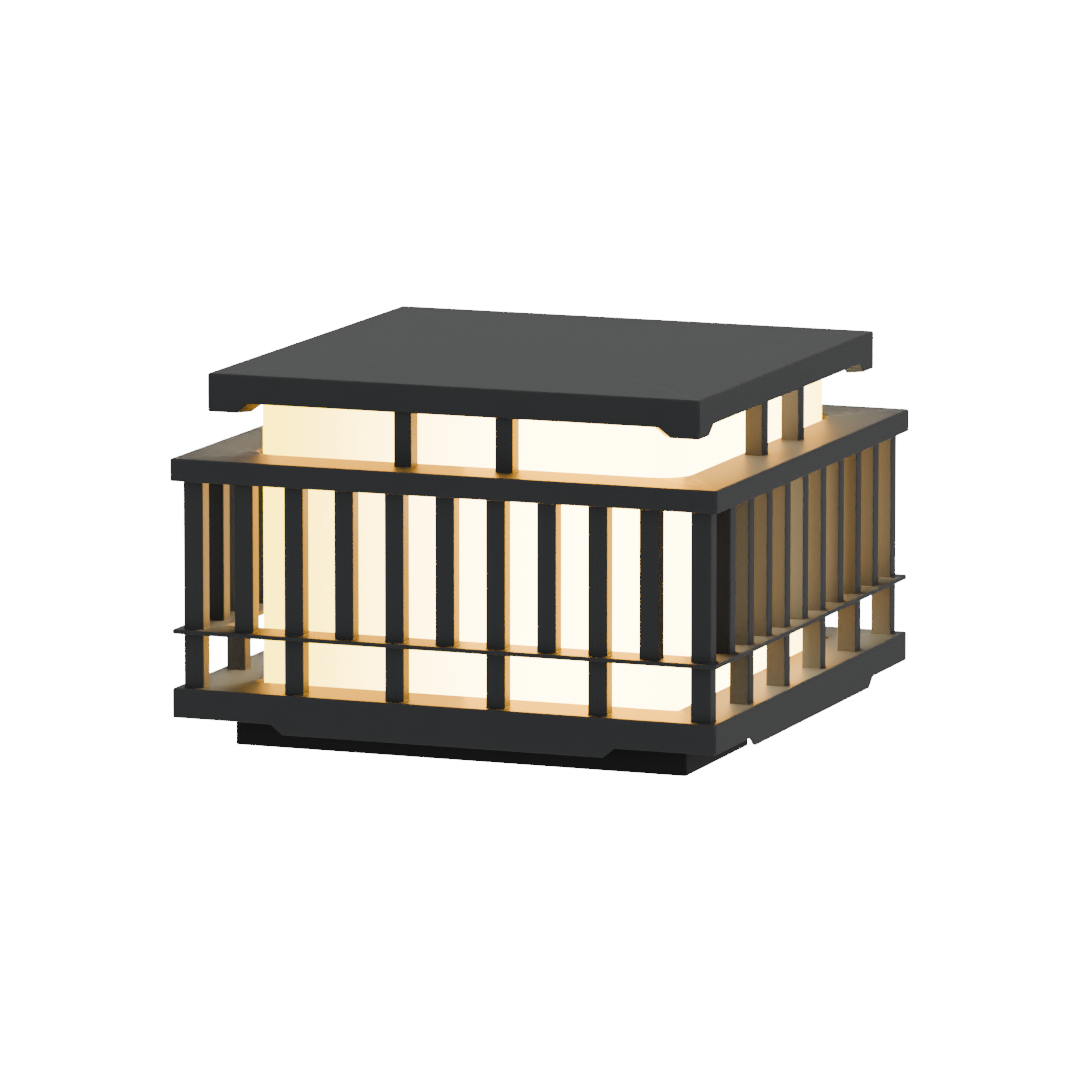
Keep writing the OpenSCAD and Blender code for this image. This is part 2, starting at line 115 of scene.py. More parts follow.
class Finish:
    """A node material with one Principled shader, put together from Python expressions."""

    def __init__(self, name):
        self.material = bpy.data.materials.new(name)
        self.material.use_nodes = True
        self.tree = self.material.node_tree
        self.shader = self.tree.nodes["Principled BSDF"]

    def node(self, kind, settings=None, values=None, out=0):
        """Adds a node: its settings first, then its sockets' values or links. Returns one of its outputs."""
        made = self.tree.nodes.new(kind)
        for key, value in (settings or {}).items():
            setattr(made, key, value)
        for key, value in (values or {}).items():
            self.feed(made.inputs[key], value)
        return Wire(self, made.outputs[out])

    def feed(self, socket, value):
        """Links a wire to a socket, or sets its plain value."""
        if isinstance(value, Wire):
            self.tree.links.new(value.socket, socket)
        elif socket.type == "RGBA" and len(value) == 3:
            socket.default_value = (*value, 1)
        else:
            socket.default_value = value

    def math(self, operation, *values):
        return self.node("ShaderNodeMath", {"operation": operation}, dict(enumerate(values)))

    def place(self, stretch=(1, 1, 1)):
        """Object coordinates in metres, times a stretch along each axis."""
        at = self.node("ShaderNodeTexCoord", out="Object")
        if tuple(stretch) == (1, 1, 1):
            return at
        return self.node("ShaderNodeVectorMath", {"operation": "MULTIPLY"}, {0: at, 1: stretch})

    def axis(self, letter):
        """One coordinate, in metres."""
        return self.node("ShaderNodeSeparateXYZ", {}, {0: self.place()}, letter)

    def noise(self, scale, detail=2.0, roughness=0.5, stretch=(1, 1, 1)):
        """Cloudy noise from 0 to 1 with about scale features to the metre."""
        return self.node("ShaderNodeTexNoise", {}, {"Vector": self.place(stretch), "Scale": scale,
                         "Detail": detail, "Roughness": roughness}, "Fac")

    def cells(self, scale, out="Distance"):
        """Scattered cells, by distance or by colour."""
        return self.node("ShaderNodeTexVoronoi", {}, {"Vector": self.place(), "Scale": scale}, out)

    def own(self, name):
        """A number that the piece carries at each vertex."""
        return self.node("ShaderNodeAttribute", {"attribute_name": name}, out="Fac")

    def step(self, value, low, high, to_low=0.0, to_high=1.0):
        """A smooth climb from to_low to to_high as the value goes from low to high."""
        ends = {"From Min": low, "From Max": high, "To Min": to_low, "To Max": to_high}
        return self.node("ShaderNodeMapRange", {"interpolation_type": "SMOOTHSTEP"}, {"Value": value, **ends})

    def mix(self, share, a, b):
        """Colour a at share 0 and colour b at share 1."""
        made = self.tree.nodes.new("ShaderNodeMix")
        made.data_type = "RGBA"
        for socket, value in zip((made.inputs[0], made.inputs[6], made.inputs[7]), (share, a, b)):
            self.feed(socket, value)
        return Wire(self, made.outputs[2])

    def relief(self, *layers):
        """Bump from (height, strength, distance in metres) layers, each on top of the one before."""
        normal = None
        for height, strength, distance in layers:
            values = {"Height": height, "Strength": strength, "Distance": distance}
            if normal is not None:
                values["Normal"] = normal
            normal = self.node("ShaderNodeBump", {}, values)
        return normal

    def set(self, **sockets):
        """Feeds the Principled shader's sockets, named with _ for each space, and gives the material."""
        for key, value in sockets.items():
            self.feed(self.shader.inputs[key.replace("_", " ")], value)
        return self.material


def powder_coat(name, shade, rough, rubbed):
    """Smooth powder coat: a faint orange-peel skin, fine grit, weak clouds, and rubbed, smoother edges."""
    f = Finish(name)
    clouds = f.noise(30, 3, 0.55)
    peel = f.noise(700, 2, 0.5)
    grit = f.noise(3800, 1, 0.5)
    edge = f.own("edge") * f.step(f.noise(220, 3, 0.6), 0.35, 0.7)
    body = f.mix(clouds, tuple(0.95 * c for c in shade), tuple(1.05 * c for c in shade))
    body = f.mix(f.step(grit, 0.62, 0.8) * 0.15, body, tuple(1.4 * c for c in shade))
    return f.set(
        Base_Color=f.mix(edge * rubbed, body, tuple(2.2 * c for c in shade)),
        Roughness=rough + 0.04 * (grit - 0.5) + 0.02 * (clouds - 0.5) - 0.08 * edge,
        IOR=COAT_IOR,
        Normal=f.relief((peel, 0.05, 0.00003), (grit, 0.06, 0.00001)),
    )


def opal_box():
    """Lit opal acrylic: palest at the front and right, warmer towards the left, the back and the corners."""
    f = Finish("opal_box")
    x = f.axis("X")
    y = f.axis("Y")
    corner = f.step(abs(x), 0.095, 0.1165) * f.step(abs(y), 0.095, 0.1165)
    left = f.step(x, -0.110, 0.055, 1.0, 0.0)
    back = f.step(y, -0.03, 0.11)
    haze = f.noise(22, 2, 0.5)
    warm = left + 0.75 * back + 0.15 * corner + 0.06 * (haze - 0.5)
    return f.set(
        Base_Color=f.mix(haze, (0.90, 0.86, 0.76), (0.94, 0.90, 0.80)),
        Roughness=0.42 + 0.10 * (f.noise(300, 2, 0.5) - 0.5),
        Emission_Color=f.mix(warm, (1.0, 0.70, 0.28), (0.39, 0.277, 0.0)),
        Emission_Strength=19.0,
        Normal=f.relief((f.noise(700, 2, 0.5), 0.12, 0.00003)),
    )


def glowing_bulb():
    """The bulb's opal globe: an even warm light, a little brighter at the crown."""
    f = Finish("glowing_bulb")
    crown = f.step(f.axis("Z"), 0.104, 0.146)
    haze = f.noise(60, 2, 0.5)
    return f.set(
        Base_Color=f.mix(haze, (0.92, 0.88, 0.80), (0.95, 0.92, 0.85)),
        Roughness=0.30 + 0.08 * (haze - 0.5),
        Emission_Color=f.mix(crown * 0.7 + 0.2 * haze, (0.85, 0.58, 0.24), (1.0, 0.74, 0.36)),
        Emission_Strength=14.0,
        Normal=f.relief((f.noise(500, 2, 0.5), 0.10, 0.00003)),
    )


def zinc(name, pale, rough, brushed=(1, 1, 1)):
    """Zinc-plated steel: crystal patches, fine brushing along one way, and a few darker stains."""
    f = Finish(name)
    crystals = f.cells(140, out="Color")
    patch = f.node("ShaderNodeSeparateColor", {}, {0: crystals}, 0)
    lines = f.noise(2200, 2, 0.6, brushed)
    stain = f.step(f.noise(35, 4, 0.6), 0.55, 0.75)
    tone = f.mix(patch * 0.5 + 0.25 * lines, tuple(0.78 * c for c in pale), pale)
    return f.set(
        Base_Color=f.mix(stain * 0.35, tone, (0.30, 0.30, 0.29)),
        Metallic=1.0,
        Roughness=rough + 0.12 * (patch - 0.5) + 0.10 * (lines - 0.5) + 0.10 * stain,
        Normal=f.relief((lines, 0.15, 0.00002), (patch, 0.08, 0.00002)),
    )


def rubber():
    """Black moulded rubber: matt, dusty in patches, with a fine pebbled skin."""
    f = Finish("rubber")
    dust = f.step(f.noise(60, 4, 0.6), 0.45, 0.8)
    skin = f.noise(1800, 2, 0.6)
    return f.set(
        Base_Color=f.mix(dust * 0.5, (0.014, 0.014, 0.014), (0.045, 0.043, 0.040)),
        Roughness=0.78 + 0.12 * (skin - 0.5) + 0.06 * dust,
        Normal=f.relief((skin, 0.35, 0.00004)),
    )


def porcelain():
    """Glazed porcelain: a clear gloss over a slightly speckled body."""
    f = Finish("porcelain")
    speck = f.step(f.cells(420), 0.10, 0.02)
    pool = f.noise(45, 3, 0.5)
    glaze = f.mix(pool, (0.78, 0.76, 0.70), (0.84, 0.82, 0.77))
    return f.set(
        Base_Color=f.mix(speck * 0.5, glaze, (0.42, 0.38, 0.32)),
        Roughness=0.14 + 0.12 * (pool - 0.5),
        Normal=f.relief((pool, 0.12, 0.0002), (f.noise(600, 2, 0.5), 0.05, 0.00003)),
    )


def brass(name, pale, rough):
    """Plain brass: brown tarnish in patches over fine turned lines."""
    f = Finish(name)
    tarnish = f.step(f.noise(110, 4, 0.6), 0.45, 0.75)
    lines = f.noise(2600, 1, 0.5, (0.1, 0.1, 1.0))
    return f.set(
        Base_Color=f.mix(tarnish * 0.6, pale, tuple(0.45 * c for c in pale)),
        Metallic=1.0,
        Roughness=rough + 0.16 * tarnish + 0.08 * (lines - 0.5),
        Normal=f.relief((lines, 0.18, 0.00002)),
    )


def plastic(name, shade, rough, scale):
    """Moulded plastic: faint flow clouds and a fine spark-eroded grain."""
    f = Finish(name)
    flow = f.noise(40, 2, 0.5)
    grain = f.noise(scale, 2, 0.6)
    return f.set(
        Base_Color=f.mix(flow, tuple(0.90 * c for c in shade), tuple(min(1.0, 1.05 * c) for c in shade)),
        Roughness=rough + 0.14 * (grain - 0.5),
        Normal=f.relief((grain, 0.20, 0.00003)),
    )


COAT_IOR = 1.3
coat = powder_coat("powder_coat", (0.040, 0.042, 0.044), 0.47, 0.30)
# The foot's coat is a darker, rougher copy of the powder coat, about a quarter as bright: painted shade for
# the foot, which sits in shadow under the base's overhang.
foot_coat = powder_coat("foot_coat", (0.0095, 0.0095, 0.0092), 0.60, 0.20)
LOOKS = {
    "dark_coat": coat,
    "foot_coat": foot_coat,
    "rubber_black": rubber(),
    "screw_steel": zinc("screw_zinc", (0.60, 0.61, 0.62), 0.34),
    "plated_steel": zinc("sheet_zinc", (0.62, 0.63, 0.64), 0.42, (0.06, 1, 1)),
    "opal_acrylic": opal_box(),
    "porcelain": porcelain(),
    "thread_brass": brass("thread_brass", (0.72, 0.53, 0.24), 0.26),
    "terminal_plastic": plastic("terminal_plastic", (0.66, 0.62, 0.52), 0.45, 1500),
    "lead_brown": plastic("brown_lead", (0.20, 0.055, 0.028), 0.38, 2400),
    "lead_green": plastic("green_lead", (0.12, 0.34, 0.07), 0.38, 2400),
    "cap_nickel": brass("nickel_thread", (0.68, 0.67, 0.64), 0.20),
    "contact_solder": zinc("solder", (0.58, 0.58, 0.57), 0.45),
    "bulb_plastic": plastic("bulb_housing", (0.86, 0.85, 0.82), 0.40, 1200),
    "board_white": plastic("light_board", (0.82, 0.82, 0.80), 0.50, 1600),
    "bulb_opal": glowing_bulb(),
}

for part in frame["record"]["subparts"]:
    node = frame["nodes"][part["node"]]
    node.data.materials.clear()
    node.data.materials.append(LOOKS[part["material_slot"]])

# ---------------------------------------------------------------- surfaces


def put(name, points, faces, edge, body, slot, *nodes, flat_normals=True):
    """Puts a finished surface in the scene on its body, in place of the CAD nodes that it stands for.

    edge is how near each point is to a rounded edge, from 0 to 1; the finishes read it for wear."""
    mesh = bpy.data.meshes.new(name)
    mesh.from_pydata(np.asarray(points, float).reshape(-1, 3).tolist(), [], faces)
    wear = mesh.attributes.new("edge", "FLOAT", "POINT")
    wear.data.foreach_set("value", np.asarray(edge, np.float32).ravel())
    mesh.shade_smooth()
    mesh.materials.append(LOOKS[slot])
    mesh.update()
    piece = bpy.data.objects.new(name, mesh)
    bpy.context.scene.collection.objects.link(piece)
    if flat_normals:
        weights = piece.modifiers.new("flat_faces", "WEIGHTED_NORMAL")
        weights.weight = 100
        weights.keep_sharp = False
    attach(piece, body)
    if nodes:
        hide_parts(*nodes)
    return piece


def grid_faces(rows, columns, wrap_rows, wrap_columns, start=0):
    """Quads between neighbouring rows and columns of a grid, closed on itself either way if asked."""
    i, j = np.meshgrid(np.arange(rows if wrap_rows else rows - 1),
                       np.arange(columns if wrap_columns else columns - 1), indexing="ij")
    i, j = i.ravel(), j.ravel()
    up, on = (i + 1) % rows, (j + 1) % columns
    quads = np.stack([i * columns + j, i * columns + on, up * columns + on, up * columns + j], 1)
    return (start + quads).tolist()


def rounded_square(half, corner, stations, turn=5):
    """A square outline with round corners, counter-clockwise from the front side.

    Each side runs through the stations, from -1 to 1 of its straight part, and each corner is a quarter
    circle of the given radius. Returns the points and whether each is in a corner: 0 on a side, 1 in one."""
    straight = half - corner
    side = np.stack([stations * straight, np.full(len(stations), -half)], 1)
    angle = np.radians(np.linspace(-90, 0, turn + 2)[1:-1])
    bend = np.stack([straight + corner * np.cos(angle), -straight + corner * np.sin(angle)], 1)
    quarter = np.concatenate([side, bend])
    at_bend = np.concatenate([np.zeros(len(side)), np.ones(len(bend))])
    ring, flag = [], []
    for k in range(4):
        c, s = (1, 0, -1, 0)[k], (0, 1, 0, -1)[k]
        ring.append(quarter @ np.array([[c, s], [-s, c]]))
        flag.append(at_bend)
    return np.concatenate(ring), np.concatenate(flag)


def soften(corners, steps=4):
    """Rounds a section's corners: each corner (half width, height, plan radius, edge radius, lip share) turns
    into an arc that touches both neighbouring lines at the edge radius times the tangent of half the turn.

    Returns rows of (half width, height, plan radius, lip share, edge)."""
    rows = []
    count = len(corners)
    for k, (half, z, plan, radius, lip) in enumerate(corners):
        here = np.array([half, z])
        if radius <= 0:
            rows.append((half, z, plan, lip, 0.0))
            continue
        to_last = np.array(corners[k - 1][:2]) - here
        to_next = np.array(corners[(k + 1) % count][:2]) - here
        a, b = to_last / np.linalg.norm(to_last), to_next / np.linalg.norm(to_next)
        turn = math.pi - math.acos(np.clip(a @ b, -1, 1))
        reach = radius * math.tan(turn / 2)
        centre = here + (a + b) / np.linalg.norm(a + b) * radius / math.cos(turn / 2)
        first, last = here + a * reach - centre, here + b * reach - centre
        for t in np.linspace(0, 1, steps + 1):
            blend = math.sin((1 - t) * turn), math.sin(t * turn)
            point = centre + (first * blend[0] + last * blend[1]) / math.sin(turn)
            rows.append((point[0], point[1], plan, lip, math.sin(math.pi * t)))
    return np.array(rows)


def square_ring(name, corners, closed, lip_shape, breaks, body, slot, *nodes):
    """A softened section carried round a rounded square, in millimetres.

    A closed section makes a ring. An open one starts and ends at small flat squares, which are capped.
    lip_shape(side, along) gives how far the lip's points are raised, where side is 0 front, 1 right, 2 back,
    3 left and along is the place on that side; breaks are the places where it changes."""
    section = soften(corners)
    widest = section[:, 0].argmax()
    straight = section[widest, 0] - section[widest, 2]
    marks = np.unique(np.concatenate([[-1, 1], np.array(breaks, float) / straight, np.linspace(-1, 1, 9)]))
    turn = 5
    per_side = len(marks) + turn
    along = np.concatenate([marks * straight, np.full(turn, straight + 5)])
    raised = np.concatenate([lip_shape(side, along) for side in range(4)])
    points = np.empty((len(section), 4 * per_side, 3))
    edge = np.empty(points.shape[:2])
    for row, (half, z, plan, lip, soft) in enumerate(section):
        ring, bend = rounded_square(half, plan, marks, turn)
        points[row, :, :2] = ring
        points[row, :, 2] = z + lip * raised
        edge[row] = np.maximum(soft, bend * (half > 30))
    faces = grid_faces(len(section), 4 * per_side, closed, True)
    if not closed:
        whole = np.arange(4 * per_side)
        faces.append(whole[::-1].tolist())
        faces.append((whole + (len(section) - 1) * 4 * per_side).tolist())
    return put(name, points * MM, faces, edge, body, slot, *nodes)


def level(side, along):
    """A lip with nothing cut from it."""
    return np.zeros_like(along)


def upright_bars(name, centres, width, depth, levels, body, slot, *nodes):
    """Upright bars of one size: a rectangle with 0.6 mm round corners, carried up through levels.

    Each level is a height and how far the paint fillet stands out there, in millimetres."""
    corner = 0.6
    angle = np.radians(np.linspace(0, 90, 4))
    arc = np.stack([np.cos(angle), np.sin(angle)], 1) * corner
    ring, away, rounded = [], [], []
    for k, (sx, sy) in enumerate(((1, -1), (1, 1), (-1, 1), (-1, -1))):
        c, s = ((0, -1), (1, 0), (0, 1), (-1, 0))[k]
        turned = arc @ np.array([[c, s], [-s, c]])
        ring.append(turned + np.array([sx * (width / 2 - corner), sy * (depth / 2 - corner)]))
        away.append(turned / corner)
        rounded.append([0, 1, 1, 0])
    ring, away = np.concatenate(ring), np.concatenate(away)
    heights = np.array([z for z, out in levels])
    flare = np.array([out for z, out in levels])
    one = np.empty((len(levels), len(ring), 3))
    one[:, :, :2] = ring[None] + away[None] * flare[:, None, None]
    one[:, :, 2] = heights[:, None]
    shift = np.zeros((len(centres), 1, 1, 3))
    shift[:, 0, 0, :2] = centres
    points = one[None] + shift
    edge = np.broadcast_to(np.concatenate(rounded), points.shape[:3])
    faces = []
    for k in range(len(centres)):
        start = k * len(levels) * len(ring)
        faces += grid_faces(len(levels), len(ring), False, True, start)
        whole = start + np.arange(len(ring))
        faces.append(whole[::-1].tolist())
        faces.append((whole + (len(levels) - 1) * len(ring)).tolist())
    return put(name, points * MM, faces, edge, body, slot, *nodes)


def low_high(node):
    """A CAD node's box, in millimetres."""
    low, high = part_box(node)
    return np.array(low) / MM, np.array(high) / MM


# ---------------------------------------------------------------- roof, ledges, base and foot

ROOF_SHEET, ROOF_RIM, ROOF_DROP = 3.0, 8.0, 5.1
DROP_FOOT, DROP_SHOULDER = 15.0, 22.0
SHEET = 2.5
FASCIA = 15.6
APRON_TOP, APRON_FOOT = 95.0, 88.5
LEDGE_HOLE, LEDGE_HOLE_ROUND = 119.5, 17.0
SHELF_HOLE = 128.0
BASE_HOLE = 117.0
PLATE_HOLE_ROUND = 2.0
NOTCH_HALF, NOTCH_HIGH = 32.0, 10.0


def roof():
    """The roof: a flat sheet with a thick rim, cut up between four corner drops with sloping shoulders."""
    low, high = low_high("roof")
    half, foot, top = high[0], low[2], high[2]
    under = top - ROOF_SHEET
    inner = half - ROOF_RIM

    def cut(side, along):
        return np.interp(np.abs(along), [half - DROP_SHOULDER, half - DROP_FOOT], [ROOF_DROP, 0])

    places = [half - DROP_SHOULDER, half - DROP_FOOT]
    section = [(1, under, 0.4, 0, 0), (inner, under, 0.8, 0, 0), (inner, foot, 0.8, 0.5, 1),
               (half, foot, 1.2, 0.7, 1), (half, top, 1.2, 1.0, 0), (1, top, 0.4, 0, 0)]
    square_ring("roof_cover", section, False, cut, places + [-p for p in places], "head", "dark_coat", "roof")


def middle_ledge():
    """The middle ledge: a folded pan, open below, round the diffuser's opening."""
    low, high = low_high("middle_ledge")
    half, foot, top = high[0], low[2], high[2]
    section = [(half, foot, 1.2, 0.6, 0), (half, top, 1.2, 1.0, 0),
               (LEDGE_HOLE, top, LEDGE_HOLE_ROUND, 0.6, 0),
               (LEDGE_HOLE, top - SHEET, LEDGE_HOLE_ROUND, 0.4, 0),
               (half - SHEET, top - SHEET, 1.0, 0, 0), (half - SHEET, foot, 1.0, 0.5, 0)]
    square_ring("ledge_pan", section, True, level, [], "head", "dark_coat", "middle_ledge")


def shelf():
    """The shelf: a thin flat ring with soft edges."""
    low, high = low_high("shelf")
    half, foot, top = high[0], low[2], high[2]
    section = [(half, foot, 1.5, 0.7, 0), (half, top, 1.5, 0.7, 0),
               (SHELF_HOLE, top, PLATE_HOLE_ROUND, 0.5, 0), (SHELF_HOLE, foot, PLATE_HOLE_ROUND, 0.5, 0)]
    square_ring("shelf_ring", section, True, level, [], "head", "dark_coat", "shelf")


def base():
    """The base: a folded pan with an apron hanging from the middle of each side."""
    low, high = low_high("base_pan")
    half, top = high[0], high[2]
    foot = top - FASCIA
    hang = foot - low[2]

    def apron(side, along):
        return -np.interp(np.abs(along), [APRON_FOOT, APRON_TOP], [hang, 0])

    section = [(half, foot, 1.2, 0.6, 1), (half, top, 1.2, 1.0, 0),
               (BASE_HOLE, top, PLATE_HOLE_ROUND, 0.5, 0), (BASE_HOLE, top - SHEET, PLATE_HOLE_ROUND, 0.3, 0),
               (half - SHEET, top - SHEET, 1.0, 0, 0), (half - SHEET, foot, 1.0, 0.5, 1)]
    places = [APRON_FOOT, APRON_TOP, -APRON_FOOT, -APRON_TOP]
    square_ring("base_cover", section, True, apron, places, "head", "dark_coat", "base_pan")


def foot():
    """The foot: an upright square wall, notched at the right and left for a cable and for drainage."""
    low, high = low_high("foot_skirt")
    half, foot_z, top = high[0], low[2], high[2]

    def notch(side, along):
        inside = np.interp(np.abs(along), [NOTCH_HALF - 0.1, NOTCH_HALF], [NOTCH_HIGH, 0])
        return inside if side in (1, 3) else np.zeros_like(along)

    section = [(half, foot_z, 1.2, 0.5, 1), (half, top, 1.2, 0, 0), (half - SHEET, top, 0.8, 0, 0),
               (half - SHEET, foot_z, 0.8, 0.5, 1)]
    places = [NOTCH_HALF, NOTCH_HALF - 0.1, -NOTCH_HALF, 0.1 - NOTCH_HALF]
    square_ring("foot_wall", section, True, notch, places, "head", "foot_coat", "foot_skirt")


roof()
middle_ledge()
shelf()
base()
foot()

# ---------------------------------------------------------------- fence and small posts

PITCH = 27.84
FENCE_X, FENCE_Y = 144.9, 144.2
BAR_W, BAR_D = 10.4, 8.4
CORNER_W, CORNER_D = 10.9, 8.6
POST_W, POST_OUT = 9.6, 132.2


def side_places(steps):
    """Bar centres on all four sides, steps being counted in pitches from the middle of a side."""
    found = []
    for k in steps:
        for side in (-1, 1):
            found.append((k * PITCH, side * (FENCE_Y - BAR_D / 2)))
            found.append((side * (FENCE_X - BAR_W / 2), k * PITCH))
    return np.array(found)


def post_places():
    """The middles of the small posts: two on each side, one pitch from the middle of the side."""
    middle = POST_OUT - POST_W / 2
    return np.array([(x, y) for a in (-PITCH, PITCH) for b in (-middle, middle) for x, y in ((a, b), (b, a))])


def fence():
    """Bars and posts, with a small fillet of paint wherever they meet a plate."""
    base_top = low_high("base_pan")[1][2]
    shelf_foot, shelf_top = low_high("shelf")[0][2], low_high("shelf")[1][2]
    under = low_high("long_bars")[1][2]

    def welded(z, way):
        """A fillet at height z that fades within half a millimetre, upwards or downwards."""
        rows = [(z, 0.4), (z + way * 0.12, 0.15), (z + way * 0.45, 0.0)]
        return rows if way > 0 else rows[::-1]

    through = welded(base_top, 1) + welded(shelf_foot, -1) + welded(shelf_top, 1) + welded(under, -1)
    short = welded(shelf_top, 1) + welded(under, -1)
    corners = np.array([(sx * (FENCE_X - CORNER_W / 2), sy * (FENCE_Y - CORNER_D / 2))
                        for sx in (-1, 1) for sy in (-1, 1)])
    upright_bars("corner_bars", corners, CORNER_W, CORNER_D, through, "head", "dark_coat", "corner_posts")
    tall, low_ones = side_places((-3, -1, 1, 3)), side_places((-4, -2, 0, 2, 4))
    upright_bars("tall_bars", tall, BAR_W, BAR_D, through, "head", "dark_coat", "long_bars")
    upright_bars("low_bars", low_ones, BAR_W, BAR_D, short, "head", "dark_coat", "short_bars")
    low, high = low_high("small_posts")
    ends = welded(low[2], 1) + welded(high[2], -1)
    upright_bars("roof_posts", post_places(), POST_W, POST_W, ends, "head", "dark_coat", "small_posts")


fence()

# ---------------------------------------------------------------- diffuser

DIFFUSER_HALF, DIFFUSER_ROUND, FLANGE_ROUND = 116.5, 14.0, 9.5


def diffuser():
    """The opal box: softened corners and crown, a closed top, an open foot and a flange to clamp it by.

    Only the camera sees its glow. The panels just outside it light the rest."""
    low, high = low_high("diffuser")
    foot, top, flange = low[2], high[2], high[0]
    half, wall, lip = DIFFUSER_HALF, 3.0, 3.0
    inside = DIFFUSER_ROUND - wall
    section = [(1, top - wall, 0.4, 0, 0), (half - wall, top - wall, inside, 2.5, 0),
               (half - wall, foot, inside, 0.3, 0), (flange, foot, FLANGE_ROUND, 0.3, 0),
               (flange, foot + lip, FLANGE_ROUND, 0.3, 0), (half, foot + lip, DIFFUSER_ROUND, 0.5, 0),
               (half, top, DIFFUSER_ROUND, 4.0, 0), (1, top, 0.4, 0, 0)]
    piece = square_ring("opal_diffuser", section, False, level, [], "head", "opal_acrylic", "diffuser")
    piece.visible_glossy = False
    piece.visible_diffuse = False


diffuser()

# ---------------------------------------------------------------- round pieces and wires

UP, DOWN = (0, 0, 1), (0, 0, -1)
HEX = 6


def turned(name, corners, closed, body, slot, *nodes, spots=((0, 0, 0, UP),), wave=None, steps=72):
    """A softened profile turned round an axis, in millimetres, and repeated at spots (x, y, z, axis).

    Each corner is (radius, height along the axis, sides, edge radius, wave share). With sides 0 it is round,
    otherwise the radius is a polygon's distance from the axis to a side. wave(angle, height) gives how far
    the surface stands out where the share is 1. A closed profile makes a ring, and an open one starts and
    ends at small discs on the axis, the first facing back along it and the last facing on."""
    section = soften(corners, 3)
    angle = np.linspace(0, 2 * np.pi, steps + 1)[:-1]
    one = np.empty((len(section), steps, 3))
    for row, (radius, height, sides, share) in enumerate(section[:, :4]):
        reach = np.full(steps, radius)
        if sides > 2:
            wedge = 2 * np.pi / sides
            reach = radius / np.cos(angle % wedge - wedge / 2)
        if wave is not None:
            reach = reach + share * wave(angle, height)
        one[row] = np.stack([reach * np.cos(angle), reach * np.sin(angle), np.full(steps, height)], 1)
    points, faces = [], []
    for count, (x, y, z, axis) in enumerate(spots):
        on = np.array(axis, float)
        across = np.array([0, 1, 0]) if abs(on[0]) > 0.5 else np.array([1, 0, 0])
        points.append(one @ np.array([across, np.cross(on, across), on]) + np.array([x, y, z]))
        start = count * len(section) * steps
        faces += grid_faces(len(section), steps, closed, True, start)
        if not closed:
            whole = start + np.arange(steps)
            faces.append(whole[::-1].tolist())
            faces.append((whole + (len(section) - 1) * steps).tolist())
    edge = np.tile(np.repeat(section[:, 4:5], steps, 1), (len(spots), 1))
    return put(name, np.array(points) * MM, faces, edge, body, slot, *nodes)


def helix(pitch, depth):
    """A right-handed thread: a wave of the given depth that climbs one pitch in each turn."""
    return lambda angle, height: depth * (0.5 + 0.5 * np.cos(2 * np.pi * height / pitch - angle))


def thread_rows(radius, low, high, pitch):
    """Profile rows for a thread between two heights, in either direction, fading at both ends."""
    count = int(abs(high - low) / pitch * 8) + 1
    heights = np.linspace(low, high, count)
    fade = np.clip(np.minimum(np.arange(count), np.arange(count)[::-1]) / 5, 0, 1)
    return [(radius, z, 0, 0, share) for z, share in zip(heights, fade)]


def screw(shank, length, head, high, socket):
    """A screw's profile: its head behind height 0 with a hexagon socket, its shank ahead with a point."""
    return [(0.2, -0.45 * high, 0, 0, 0), (socket, -0.45 * high, HEX, 0, 0), (socket, -high, HEX, 0.1, 0),
            (head * 0.72, -high, 0, 0.5, 0), (head, -high * 0.45, 0, 0.4, 0), (head, 0, 0, 0.2, 0),
            (shank, 0, 0, 0, 0), (shank, length - 0.7, 0, 0.2, 0), (shank - 0.6, length, 0, 0.1, 0),
            (0.2, length, 0, 0, 0)]


def nut(bore, apothem, high):
    """A nut's profile: a hexagon with softened edges round a plain bore."""
    return [(bore, 0, 0, 0.15, 0), (apothem, 0, HEX, 0.3, 0), (apothem, high, HEX, 0.3, 0),
            (bore, high, 0, 0.15, 0)]


def rounded_path(corners, rounds=4):
    """A wire's path with its corners cut again and again at a quarter and three quarters of each length."""
    path = np.array(corners, float)
    for _ in range(rounds):
        middle = np.stack([0.75 * path[:-1] + 0.25 * path[1:], 0.25 * path[:-1] + 0.75 * path[1:]], 1)
        path = np.concatenate([path[:1], middle.reshape(-1, 3), path[-1:]])
    return path


def swept(paths, radius, steps=16):
    """Round wires along paths, in millimetres, each ring standing square to the path and not twisting.

    Returns points and faces, closed at both ends of each wire."""
    points, faces, start = [], [], 0
    angle = np.linspace(0, 2 * np.pi, steps + 1)[:-1]
    for path in paths:
        along = np.gradient(path, axis=0)
        along /= np.linalg.norm(along, axis=1)[:, None]
        across = np.cross(along[0], [0.3, 0.5, 0.8])
        for here, way in zip(path, along):
            across = across - way * (across @ way)
            across /= np.linalg.norm(across)
            up = np.cross(way, across)
            points.append(here + radius * (np.cos(angle)[:, None] * across + np.sin(angle)[:, None] * up))
        faces += grid_faces(len(path), steps, False, True, start)
        whole = start + np.arange(steps)
        faces.append(whole[::-1].tolist())
        faces.append((whole + (len(path) - 1) * steps).tolist())
        start += len(path) * steps
    return np.concatenate(points), faces


# ---------------------------------------------------------------- bulb and lampholder

PITCH_E27 = 3.6
GLOBE_R, GLOBE_WALL = 30.0, 1.2
HOLDER_FLOOR = 10.0


